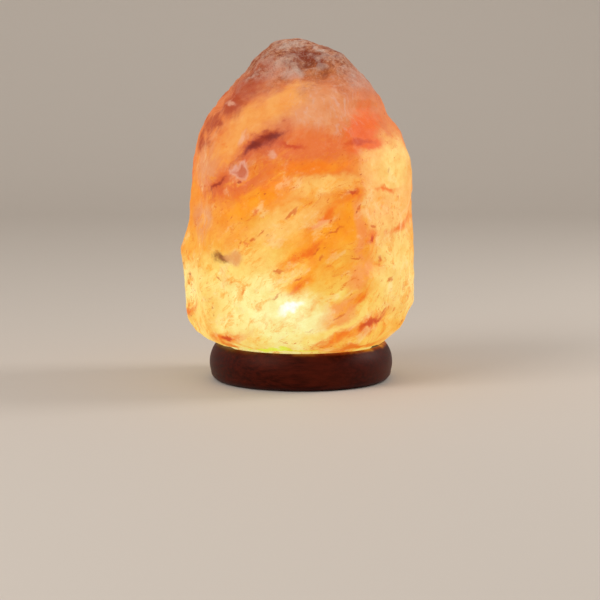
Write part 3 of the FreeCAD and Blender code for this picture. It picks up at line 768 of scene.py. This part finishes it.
ROUND_ZONES = [
    ("back_sun", (0.99, 0.76, 0.24), 0.8, 0.6, 1.3, 180, [
        ((-6, 60), (36, 15), 10), ((24, 92), (18, 8), 32),
    ]),
    ("back_honey", (0.93, 0.38, 0.08), 0.85, 0.6, 1.4, 180, [
        ((12, 168), (30, 9), 34), ((-34, 122), (15, 12), 20),
    ]),
    ("back_salmon", (0.80, 0.17, 0.035), 0.9, 0.5, 1.3, 180, [
        ((-6, 146), (38, 9), 26), ((34, 118), (16, 8), 30),
    ]),
    ("back_rust", (0.90, 0.17, 0.008), 0.9, 0.8, 2.4, 180, [
        ((-38, 46), (14, 3), 28), ((10, 80), (14, 3), 36), ((44, 66), (8, 2), 24),
        ((-14, 106), (10, 2), 38),
    ]),
    ("right_sun", (0.99, 0.74, 0.24), 0.8, 0.6, 1.2, 90, [
        ((2, 58), (32, 15), 6), ((26, 96), (12, 14), 10),
    ]),
    ("right_salmon", (0.82, 0.18, 0.035), 0.9, 0.5, 1.2, 90, [((20, 148), (20, 10), 24)]),
    ("right_rust", (0.88, 0.16, 0.008), 0.9, 0.8, 2.4, 90, [
        ((18, 74), (14, 2.4), 32), ((-2, 112), (8, 2), 28), ((30, 40), (9, 2.6), 20),
        ((24, 128), (10, 1.6), 40),
    ]),
    ("left_sun", (0.99, 0.78, 0.26), 0.8, 0.6, 1.2, 270, [((0, 58), (34, 15), 8)]),
    ("left_salmon", (0.82, 0.18, 0.035), 0.9, 0.5, 1.2, 270, [((-16, 120), (22, 9), 28)]),
    ("left_rust", (0.88, 0.16, 0.008), 0.9, 0.8, 2.4, 270, [
        ((-18, 86), (12, 2), 34), ((6, 42), (12, 2.4), 22),
    ]),
]

paint = painted(paint, ROUND_ZONES)
print("salt nodes:", len(salt.tree.nodes))

# %% [markdown]
# ## Salt: wisps and milk
# Iron is drawn out along the layers in red wisps, and bubbles make milky streaks between them.
# Both are strongest low down, where the light is. They could be brush strokes on an image. A
# noise that is stretched along the layers and cut with a smooth step gives as many as are
# wanted, and a broad noise named swarm makes them gather instead of spreading evenly.

# %% Salt: wisps and milk

low_half = reach.smooth(150.0, 95.0)
wisps = salt.noise(layers(2.8, LAYER_TILT, bent), 0.15, detail=7.0, roughness=0.72)
paint = salt.mix(wisps.smooth(0.51, 0.62) * low_half * 0.6, paint, (0.97, 0.35, 0.02))
paint = salt.mix(wisps.smooth(0.62, 0.70) * 0.7, paint, (0.84, 0.17, 0.012))
milk = salt.noise(layers(1.8, 40), 0.11, detail=6.0, roughness=0.66)
milky = milk.smooth(0.53, 0.66) * (low_half * 0.26 + 0.06)
paint = salt.mix(milky, paint, (1.0, 0.74, 0.36))
swarm = salt.noise(layers(1.6), 0.055, detail=2.0).smooth(0.40, 0.58)
calm = zone(0, (-24, 52), (36, 24), 12, 0.5, 0.6)
calm = calm.highest(zone(0, (-20, 168), (44, 26), 30, 0.5, 0.6))
swarm = swarm * (1.0 - calm * 0.85)
print("salt nodes:", len(salt.tree.nodes))

# %% [markdown]
# ## Salt: hairlines and dashes
# Fine cracks hold rust. Curves laid on the skin would be thousands of pieces. A hairline is
# where a noise crosses its middle value, so the distance from that value draws the line, and a
# second noise breaks it up. Dashes are the peaks of a finer noise that is stretched along the
# layers, and they come a little more easily inside a swarm.

# %% Salt: hairlines and dashes

broken = salt.noise(layers(1.6, VEIN_TILT, strayed), 0.30, detail=2.0).smooth(0.50, 0.57)
hair = salt.noise(layers(3.0, VEIN_TILT, bent), 0.22, detail=5.0, roughness=0.62) - 0.5
line = hair.math("ABSOLUTE").smooth(0.022, 0.006) * broken * swarm
paint = salt.mix(line * 0.8, paint, (0.82, 0.19, 0.012))
dashes = salt.noise(layers(2.6, VEIN_TILT, bent), 0.50, detail=4.0, roughness=0.66)
dashes = (dashes + swarm * 0.06).smooth(0.675, 0.74)
paint = salt.mix(dashes * 0.8, paint, (0.70, 0.12, 0.010))
print("salt nodes:", len(salt.tree.nodes))

# %% [markdown]
# ## Salt: specks
# Small crystals of other minerals are caught in the salt as dark and red dots. They could be
# scattered as small meshes, but they lie under the skin. A Voronoi texture has one point in
# each cell: the distance to it draws the dot, the feather makes it ragged, and the colour of
# the cell decides by chance whether there is a dot and how large it is.

# %% Salt: specks


def specks(scale, size, share):
    """Ragged dots, one in a share of the cells of a loose grid."""
    sockets = {"vector": layers(1.5, 34, strayed), "scale": scale}
    settings = {"feature": "F1"}
    away = salt.node("ShaderNodeTexVoronoi", settings=settings, **sockets)
    cell = salt.node("ShaderNodeTexVoronoi", "Color", settings=settings, **sockets)
    pick = salt.node("ShaderNodeSeparateColor", color=cell)
    radius = size * scale
    empty = 1.0 - share
    ragged = away + (pick - 0.7) * radius + feather * radius * 2.0
    return ragged.smooth(radius * 1.3, radius * 0.5) * pick.smooth(empty, empty + 0.05)


dotted = swarm * 0.75 + 0.25
paint = salt.mix(specks(0.10, 1.0, 0.45) * dotted * 0.85, paint, (0.46, 0.06, 0.012))
paint = salt.mix(specks(0.04, 2.2, 0.40) * dotted * 0.8, paint, (0.78, 0.13, 0.012))
print("salt nodes:", len(salt.tree.nodes))

# %% [markdown]
# ## Salt: single marks
# The eye remembers a few marks on the front: a dark seam, a red patch, a crater, a knot, the
# hot spot in front of the bulb, the brown bark up the left shoulder. Chance would never put
# them in their places, so they are listed like the zones. They are painted after the veins,
# because a vein that ran over the dark seam would cut it in two.

# %% Salt: marks

MARKS = [
    ("red", (0.86, 0.13, 0.010), 0.95, 0.35, 0.9, 0, [
        ((36, 157), (9, 14), -16), ((40, 149), (9, 6), 0),
    ]),
    ("ember", (0.62, 0.065, 0.010), 0.9, 0.6, 1.6, 0, [
        ((41, 43), (8, 1.6), 30), ((35, 149), (7, 2.6), 10), ((-8, 148), (9, 1.6), -14),
        ((43, 92), (2, 2.2), 0), ((-42, 33), (2.4, 1.6), 0), ((30, 117), (3.0, 1.4), 24),
    ]),
    ("fine_dashes", (0.68, 0.105, 0.010), 0.7, 0.6, 1.6, 0, [
        ((-28, 94), (1.9, 0.8), 30), ((-23, 98), (2.4, 0.6), 36), ((12, 83), (1.6, 1.2), 20),
        ((47, 80), (1.1, 1.6), 0), ((-49, 66), (1.5, 0.9), -30), ((-15, 71), (2.2, 0.6), 20),
        ((-17, 56), (2.8, 0.7), 34), ((45, 100), (1.3, 1.1), 0), ((18, 98), (3.8, 0.7), 32),
        ((9, 87), (3.2, 0.6), 36), ((-3, 69), (2.6, 0.6), 38), ((30, 80), (2.8, 0.6), 30),
        ((22, 48), (2.4, 0.7), 30), ((-60, 120), (1.3, 1.1), 0), ((48, 50), (2.6, 0.7), 40),
        ((6, 40), (2.2, 0.6), 30), ((-36, 92), (1.6, 0.6), 34), ((54, 66), (2.2, 0.6), 40),
        ((36, 110), (2.0, 0.7), 44), ((-5, 110), (2.8, 0.6), 34),
    ]),
    ("bark", (0.44, 0.060, 0.016), 0.95, 0.45, 1.5, 0, [
        ((-35, 181), (22, 8), 54), ((-42, 171), (10, 8), 50), ((-53, 160), (12, 4.6), 54),
        ((-60, 147), (3.6, 10), -12),
    ]),
    ("seam_halo", (0.64, 0.11, 0.030), 0.8, 0.6, 1.4, 0, [
        ((-24, 146), (19, 6), 34), ((-49, 122), (11, 4), 56),
    ]),
    ("seam", (0.38, 0.040, 0.014), 0.9, 0.55, 2.0, 0, [
        ((-25, 147), (14, 2.6), 34), ((-19, 151.4), (7.5, 3.4), 28),
        ((-50, 121.5), (8, 1.2), 57),
    ]),
    ("seam_core", (0.22, 0.022, 0.012), 0.9, 0.6, 1.6, 0, [
        ((-18, 152), (5, 1.8), 24), ((-28, 145), (6, 1.2), 38),
    ]),
    ("knot", (0.26, 0.06, 0.010), 0.9, 0.5, 0.9, 0, [((-46.3, 82), (4.4, 3.6), 10)]),
    ("lobe", (0.78, 0.33, 0.10), 0.8, 0.4, 0.7, 0, [((-39, 82.7), (6, 4.2), 0)]),
    ("crater", (0.78, 0.38, 0.26), 0.75, 0.3, 0.5, 0, [((-36.9, 132.5), (4.5, 4.3), 0)]),
    ("pit", (0.60, 0.13, 0.050), 0.9, 0.3, 0.3, 0, [((-36.7, 132.3), (3.0, 2.8), 0)]),
    ("fleck", (0.84, 0.42, 0.26), 0.6, 0.6, 1.8, 0, [
        ((-17.6, 141.8), (2.8, 2.4), 30), ((-33, 150), (4.0, 1.8), 30),
        ((-42, 171.6), (3.2, 1.2), 8),
    ]),
    ("pale_heart", (1.0, 0.93, 0.42), 0.7, 0.8, 1.4, 0, [
        ((-9, 50), (16, 7), 24), ((6, 44), (11, 5.5), 24),
    ]),
    ("hot", (1.0, 1.0, 0.86), 1.0, 0.6, 1.0, 0, [((-7.6, 50.0), (7.5, 2.4), 26)]),
    # Painted light: the next two marks are the thin bright line where the glow comes out along the
    # rock's bottom edge, just above the foot.
    ("edge_glow_lime", (0.80, 0.84, 0.05), 0.85, 0.5, 0.7, 0, [((-12, 24.4), (25, 1.1), 0)]),
    ("edge_glow_red", (0.84, 0.17, 0.008), 0.9, 0.6, 1.2, 0, [
        ((32, 26.2), (18, 2.2), 7), ((-42, 27.4), (9, 2.0), -9),
    ]),
    ("back_seam", (0.34, 0.035, 0.012), 0.95, 0.5, 1.1, 180, [
        ((14, 143), (15, 2.6), 24), ((-6, 134), (8, 1.6), 40), ((-40, 98), (8, 1.4), 44),
    ]),
    ("back_bark", (0.44, 0.060, 0.016), 0.95, 0.4, 0.9, 180, [((30, 176), (24, 7), -46)]),
    ("left_bark", (0.46, 0.070, 0.018), 0.9, 0.4, 0.9, 270, [((-20, 168), (10, 20), 24)]),
]

paint = painted(paint, MARKS)
print("salt nodes:", len(salt.tree.nodes))

# %% [markdown]
# ## Salt: drifting tone
# However many marks there are, a zone between them would still be one flat colour. Multiplying
# by a grey noise would dim it, and lit salt isn't dimmer in its darker places but redder. So
# green and blue drift with the noise, blue twice as much, and red hardly changes.

# %% Salt: tone

drift = (salt.noise(place, 0.10, detail=7.0, roughness=0.68) - 0.5) * 0.9 + 1.0
channels = {"red": drift * 0.2 + 0.8, "green": drift, "blue": drift * drift}
tone = salt.node("ShaderNodeCombineColor", **channels)
paint = salt.mix(1.0, paint, tone, kind="MULTIPLY")
print("salt nodes:", len(salt.tree.nodes))

# %% [markdown]
# ## Salt: the crown
# At the top the salt is thick, dusty and frosted, and the bulb is far away, so the crown shows
# its own pinkish brown crust and hardly glows. It could be a second material on the top faces,
# but that makes a hard line. Here a mask that climbs with height, ragged by noise, mixes the
# crust over the glowing paint. Grain, fine salt and the attribute sunk give the crust its life.

# %% Salt: crust

CROWN_ZONES = [
    ("dark_side", (0.46, 0.080, 0.022), 0.85, 0.5, 1.6, 0, [
        ((-27, 191), (15, 7), 52), ((27, 204), (8, 3.4), -30),
    ]),
    ("orange_grain", (0.76, 0.24, 0.07), 0.75, 0.4, 1.8, 0, [((14, 188), (16, 8), -12)]),
    ("pink_crust", (0.78, 0.44, 0.33), 0.7, 0.5, 1.8, 0, [
        ((36, 184), (7, 14), 38), ((-17, 190), (11, 6), 30),
    ]),
    ("white_crust", (0.78, 0.60, 0.49), 0.8, 0.5, 2.4, 0, [
        ((-6, 206.4), (10, 3.4), 8), ((-4.5, 189), (7, 4.5), 20), ((10.5, 202), (2.6, 6), 42),
        ((38, 184), (3.4, 9), 34),
    ]),
    ("brown_crust", (0.27, 0.028, 0.004), 0.95, 0.5, 1.6, 0, [
        ((3, 198), (12, 5.4), -6), ((20, 202.4), (8, 3.6), -25), ((10, 195), (7, 3), -20),
    ]),
]

sunk = salt.node("ShaderNodeAttribute", "Fac", {"attribute_name": "sunk"})
uneven = (salt.noise(place, 0.075, detail=5.0, roughness=0.62) - 0.5) * 36.0
crown = (height + uneven).smooth(174.0, 197.0)
grit = salt.noise(layers(1.4), 0.36, detail=6.0, roughness=0.84)
crust = salt.mix(grit.smooth(0.38, 0.60), (0.42, 0.085, 0.022), (0.70, 0.29, 0.14))
crust = salt.mix(grit.smooth(0.47, 0.40) * 0.65, crust, (0.28, 0.036, 0.008))
crust = salt.mix(grit.smooth(0.55, 0.62) * 0.5, crust, (0.80, 0.52, 0.40))
crust = painted(crust, CROWN_ZONES)
salting = salt.noise(place, 1.1, detail=3.0, roughness=0.7)
crust = salt.mix(salting.smooth(0.57, 0.66) * 0.35, crust, (0.84, 0.62, 0.50))
crust = salt.mix(salting.smooth(0.45, 0.36) * 0.45, crust, (0.26, 0.032, 0.006))
# Painted shade: the crust is darker in the hollows. Painted highlight: it is paler on the edges.
crust = salt.mix(sunk.smooth(0.05, 0.8) * 0.6, crust, (0.26, 0.040, 0.012))
crust = salt.mix(sunk.smooth(-0.05, -0.8) * 0.35, crust, (0.76, 0.54, 0.43))
print("salt nodes:", len(salt.tree.nodes))

# %% [markdown]
# ## Salt: frost
# Damp air leaves a thin frost that runs down from the crown in streaks. Particles could lie on
# the skin, but frost this thin is only a change of colour. It is one more noise, drawn out
# downwards, and it shows on the crown and in two patches below it.

# %% Salt: frost

streaks = salt.node("ShaderNodeMapping", vector=bent, scale=(1.0, 1.0, 0.14))
runs = salt.noise(streaks, 0.30, detail=5.0, roughness=0.66).smooth(0.50, 0.66)
veiled = zone(0, (23, 171), (13, 20), 0, 0.6, 0.8)
veiled = veiled.highest(zone(0, (4, 172), (12, 12), 0, 0.6, 0.8))
frost = runs * veiled.highest(crown)
paint = salt.mix(crown, paint, crust)
paint = salt.mix(frost * 0.38, paint, (0.82, 0.50, 0.38))
print("salt nodes:", len(salt.tree.nodes))

# %% [markdown]
# ## Salt: glow, gloss and relief
# Where crust or frost covers the salt it glows less and reflects more of its own colour. Each
# could have a mask of its own, but one mask named dull drives both, so they can't disagree. The
# finest relief is too small for the mesh, so a Bump node adds it, more on the crown. The same
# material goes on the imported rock, which the carved one replaces.

# %% Salt: glow, gloss and relief

GLOW_STRENGTH = 0.86
RELIEF = 1.2 * MM

dull = (crown * 0.92).highest(frost * 0.3)
salt.set(base_color=salt.dimmed(paint, dull * 0.82 + 0.16))
salt.set(emission_color=salt.dimmed(paint, 1.0 - dull), emission_strength=GLOW_STRENGTH)
salt.set(roughness=crown * 0.3 + frost * 0.1 + 0.45)
fine = salt.noise(place, 0.9, detail=6.0, roughness=0.7)
chips = salt.noise(place, 0.22, detail=4.0, roughness=0.6)
salt.bump(fine * (crown * 1.4 + 0.3) + chips * (crown * 1.6 + 0.6), RELIEF, 0.9)
for stone in (rock, nodes["salt_crystal"]):
    stone.data.materials.clear()
    stone.data.materials.append(salt.material)
print("salt nodes:", len(salt.tree.nodes))

# %% [markdown]
# ## Stained wood
# The foot is a close-grained wood with a dark red-brown stain under a satin varnish. A picture
# of wood would need an unwrapped foot and would repeat. A noise that is stretched along x gives
# grain that runs through the solid, as it does in real wood. The light that leaks out between
# rock and foot warms the rim, more on the right, so the rim glows faintly by its height.

# %% Wood

GRAIN_STRETCH = (0.14, 1.0, 1.0)

wood = Shader("dark_wood", ior=1.45, specular_ior_level=0.2, specular_tint=(1.0, 0.42, 0.30))
wood_place = wood.place()
drawn = wood.node("ShaderNodeMapping", vector=wood_place, scale=GRAIN_STRETCH)
wood_grain = wood.noise(drawn, 0.5, detail=5.0, roughness=0.65)
broad = wood.noise(wood_place, 0.05, detail=2.0)
stain = wood.mix(wood_grain.smooth(0.3, 0.75), (0.016, 0.0010, 0.0004), (0.060, 0.0050, 0.0018))
stain = wood.mix(broad.smooth(0.4, 0.7) * 0.4, stain, (0.085, 0.009, 0.003))
wood.set(base_color=stain, roughness=wood_grain * 0.2 + 0.36)
wood_height = wood_place.along(0.0, 0.0, 1.0)
flicker = wood.noise(wood_place, 0.07, detail=4.0)
lip = (wood_height + (flicker - 0.5) * 3.0).smooth(20.6, 23.0)
leak = wood.mix(flicker.smooth(0.40, 0.62), (0.30, 0.030, 0.003), (0.62, 0.22, 0.012))
bright = wood_place.along(1.0, 0.0, 0.0).smooth(-24.0, 36.0) * 0.85 + 0.12
wood.set(emission_color=wood.dimmed(leak, lip * bright), emission_strength=0.8)
wood.bump(wood.noise(drawn, 1.6, detail=3.0), 0.12 * MM, 0.5)
print("wood nodes:", len(wood.tree.nodes))

# %% [markdown]
# ## Metal, plastic and rubber
# The clip, screws and holder are ordinary hardware: plated or bare metal, moulded plastic,
# ceramic, rubber. One flat value for gloss makes such a part look like a toy, and a material
# drawn by hand for each would be the same one again with other numbers. So one function makes
# them all, with a gloss that is a little patchy and a slight unevenness in the surface.

# %% Plain finishes

PATCH_SCALE = 0.6
PATCHINESS = 0.12


def plain(name, colour, roughness, metallic=0.0, bump=0.04):
    """A finish with a little unevenness in its gloss."""
    shader = Shader(name, base_color=colour, metallic=metallic)
    place = shader.place()
    patchy = shader.noise(place, PATCH_SCALE, detail=4.0)
    shader.set(roughness=patchy * PATCHINESS + (roughness - PATCHINESS * 0.5))
    shader.bump(shader.noise(place, 3.0, detail=2.0), bump * MM, 0.3)
    return shader.material


FINISHES = {
    "dark_wood": wood.material,
    "pad_rubber": plain("pad_rubber", (0.03, 0.03, 0.03), 0.8, bump=0.15),
    "zinc_steel": plain("zinc_steel", (0.60, 0.60, 0.57), 0.35, metallic=1.0),
    "nylon": plain("nylon", (0.55, 0.55, 0.52), 0.5),
    "nickel": plain("nickel", (0.72, 0.69, 0.64), 0.22, metallic=1.0),
    "spring_steel": plain("spring_steel", (0.50, 0.50, 0.52), 0.3, metallic=1.0),
    "moulded": plain("moulded", (0.80, 0.78, 0.72), 0.4),
    "ceramic": plain("ceramic", (0.82, 0.80, 0.75), 0.55),
    "brass": plain("brass", (0.72, 0.50, 0.20), 0.3, metallic=1.0),
    "black_glass": plain("black_glass", (0.02, 0.02, 0.025), 0.15),
    "cement": plain("cement", (0.62, 0.57, 0.48), 0.8, bump=0.1),
    "solder": plain("solder", (0.60, 0.60, 0.60), 0.4, metallic=1.0),
}
print("plain finishes:", len(FINISHES))

# %% [markdown]
# ## The bulb
# The bulb is clear glass around a glowing filament. It is seen only when the lamp is lifted off
# its clip. Transmission on the Principled node makes the glass, with a trace of warm emission
# for the light inside it, and the filament simply emits. A real lamp in there would add noise
# to every render for light that the painted rock already shows.

# %% Glass and filament

glass = Shader("bulb_glass", base_color=(1.0, 0.97, 0.92), ior=1.5, transmission_weight=0.95)
glass.set(roughness=glass.noise(glass.place(), 0.2, detail=2.0) * 0.06 + 0.03)
glass.set(emission_color=(1.0, 0.62, 0.25), emission_strength=0.12)
filament = Shader("tungsten", base_color=(0.5, 0.4, 0.3), roughness=0.6)
filament.set(emission_color=(1.0, 0.66, 0.3), emission_strength=8.0)
FINISHES.update(bulb_glass=glass.material, tungsten=filament.material)
print("finishes:", len(FINISHES))

# %% [markdown]
# ## Dressing the solids
# The record that comes with the solids names a material slot for each of them. The finishes
# could be put on node by node, but a loop over the record can't forget one.

# %% Solids dressed


def wear(name, material):
    """Give a solid its material."""
    piece = nodes[name]
    piece.data.materials.clear()
    piece.data.materials.append(material)


for entry in frame["record"]["subparts"]:
    if entry["material_slot"] in FINISHES:
        wear(entry["node"], FINISHES[entry["material_slot"]])

# %% [markdown]
# ## Floor and backdrop
# A lamp wants a plain pale ground. A flat plane would end in a hard horizon, so this is one
# sheet that curves up behind the lamp, as photographers hang it. An edge is drawn out into the
# floor, spun a quarter turn for the curve and drawn out again for the wall.

# %% Floor

SHEET_HALF_WIDTH = 2.5
SHEET_FRONT_Y = -1.6
CURVE_Y = 1.2
CURVE_R = 0.6
WALL_TOP = 2.2


def drawn_out(work, edges, way):
    """Extrude the edges by a vector and give the new edges."""
    made = bmesh.ops.extrude_edge_only(work, edges=edges)["geom"]
    verts = [item for item in made if isinstance(item, bmesh.types.BMVert)]
    bmesh.ops.translate(work, verts=verts, vec=way)
    return [item for item in made if isinstance(item, bmesh.types.BMEdge)]


def sweep():
    """A floor that curves up into a backdrop behind the lamp."""
    work = bmesh.new()
    ends = [work.verts.new((x, SHEET_FRONT_Y, 0.0)) for x in (-SHEET_HALF_WIDTH, SHEET_HALF_WIDTH)]
    front = work.edges.new(ends)
    back = drawn_out(work, [front], (0.0, CURVE_Y - SHEET_FRONT_Y, 0.0))
    quarter = {"cent": (0.0, CURVE_Y, CURVE_R), "axis": (1.0, 0.0, 0.0), "angle": math.pi / 2}
    curved = back + list(back[0].verts)
    turned = bmesh.ops.spin(work, geom=curved, steps=8, **quarter)["geom_last"]
    rising = [item for item in turned if isinstance(item, bmesh.types.BMEdge)]
    drawn_out(work, rising, (0.0, 0.0, WALL_TOP - CURVE_R))
    bmesh.ops.recalc_face_normals(work, faces=work.faces)
    work.faces.ensure_lookup_table()
    if work.faces[0].normal.z < 0:
        bmesh.ops.reverse_faces(work, faces=work.faces)
    mesh = bpy.data.meshes.new("floor")
    work.to_mesh(mesh)
    work.free()
    mesh.shade_smooth()
    floor = bpy.data.objects.new("floor", mesh)
    bpy.context.scene.collection.objects.link(floor)
    floor.data.materials.append(plain("paper", (0.60, 0.53, 0.46), 0.7))
    return floor


floor = sweep()
print("floor faces:", len(floor.data.polygons))

# %% [markdown]
# ## Light
# The rock lights itself, so the lights only have to show its shape and the dark foot. A bare
# point light would give hard shadows, and a picture of a sky is one more file. A large soft box
# at the front left, a small one at the right and an even sky are enough, at a level at which a
# colour renders about as it is written.

# %% Soft boxes and sky

LAMP_MIDDLE = (0.0, 0.0, 0.1)
SKY_STRENGTH = 0.55


def soft_box(name, spot, size, power):
    """A square or oblong area light that faces the lamp."""
    data = bpy.data.lights.new(name, "AREA")
    data.shape = "RECTANGLE"
    data.size, data.size_y = size
    data.energy = power
    box = bpy.data.objects.new(name, data)
    box.location = spot
    facing = Vector(LAMP_MIDDLE) - Vector(spot)
    box.rotation_euler = facing.to_track_quat("-Z", "Y").to_euler()
    bpy.context.scene.collection.objects.link(box)


soft_box("window", (-1.1, -0.9, 1.0), (0.9, 0.9), 14.0)
soft_box("fill", (1.0, 0.2, 0.7), (0.35, 0.7), 6.0)
world = bpy.data.worlds.new("sky")
world.use_nodes = True
sky = world.node_tree.nodes["Background"].inputs
sky["Color"].default_value = (1.0, 0.98, 0.96, 1.0)
sky["Strength"].default_value = SKY_STRENGTH
bpy.context.scene.world = world
print("two soft boxes and a sky of strength", SKY_STRENGTH)

# %% [markdown]
# ## Camera
# A camera close by makes a small thing look large and bulging. The real one stood well back: it
# was fitted to the ellipses of the foot, which gives 1.3 m and a look down of seven degrees,
# and the long lens then fills the frame as the photograph does. The view transform is Standard,
# so that colours come out as they are written.

# %% Camera

LOOK_DOWN = 7.1

camera_data = bpy.data.cameras.new("camera")
camera_data.sensor_width = 36.0
camera_data.lens = 127.08
camera = bpy.data.objects.new("camera", camera_data)
camera.location = (-0.0006, -1.300, 0.2106)
camera.rotation_euler = (math.radians(90.0 - LOOK_DOWN), 0.0, 0.0)
bpy.context.scene.collection.objects.link(camera)
bpy.context.scene.camera = camera
bpy.context.scene.view_settings.view_transform = "Standard"
print("camera at", tuple(camera.location))

# %% [markdown]
# ## Size
# The carved rock has to stay inside the box of the solids, or the lamp would be larger than it
# was packed.

# %% Size

print("end of script")
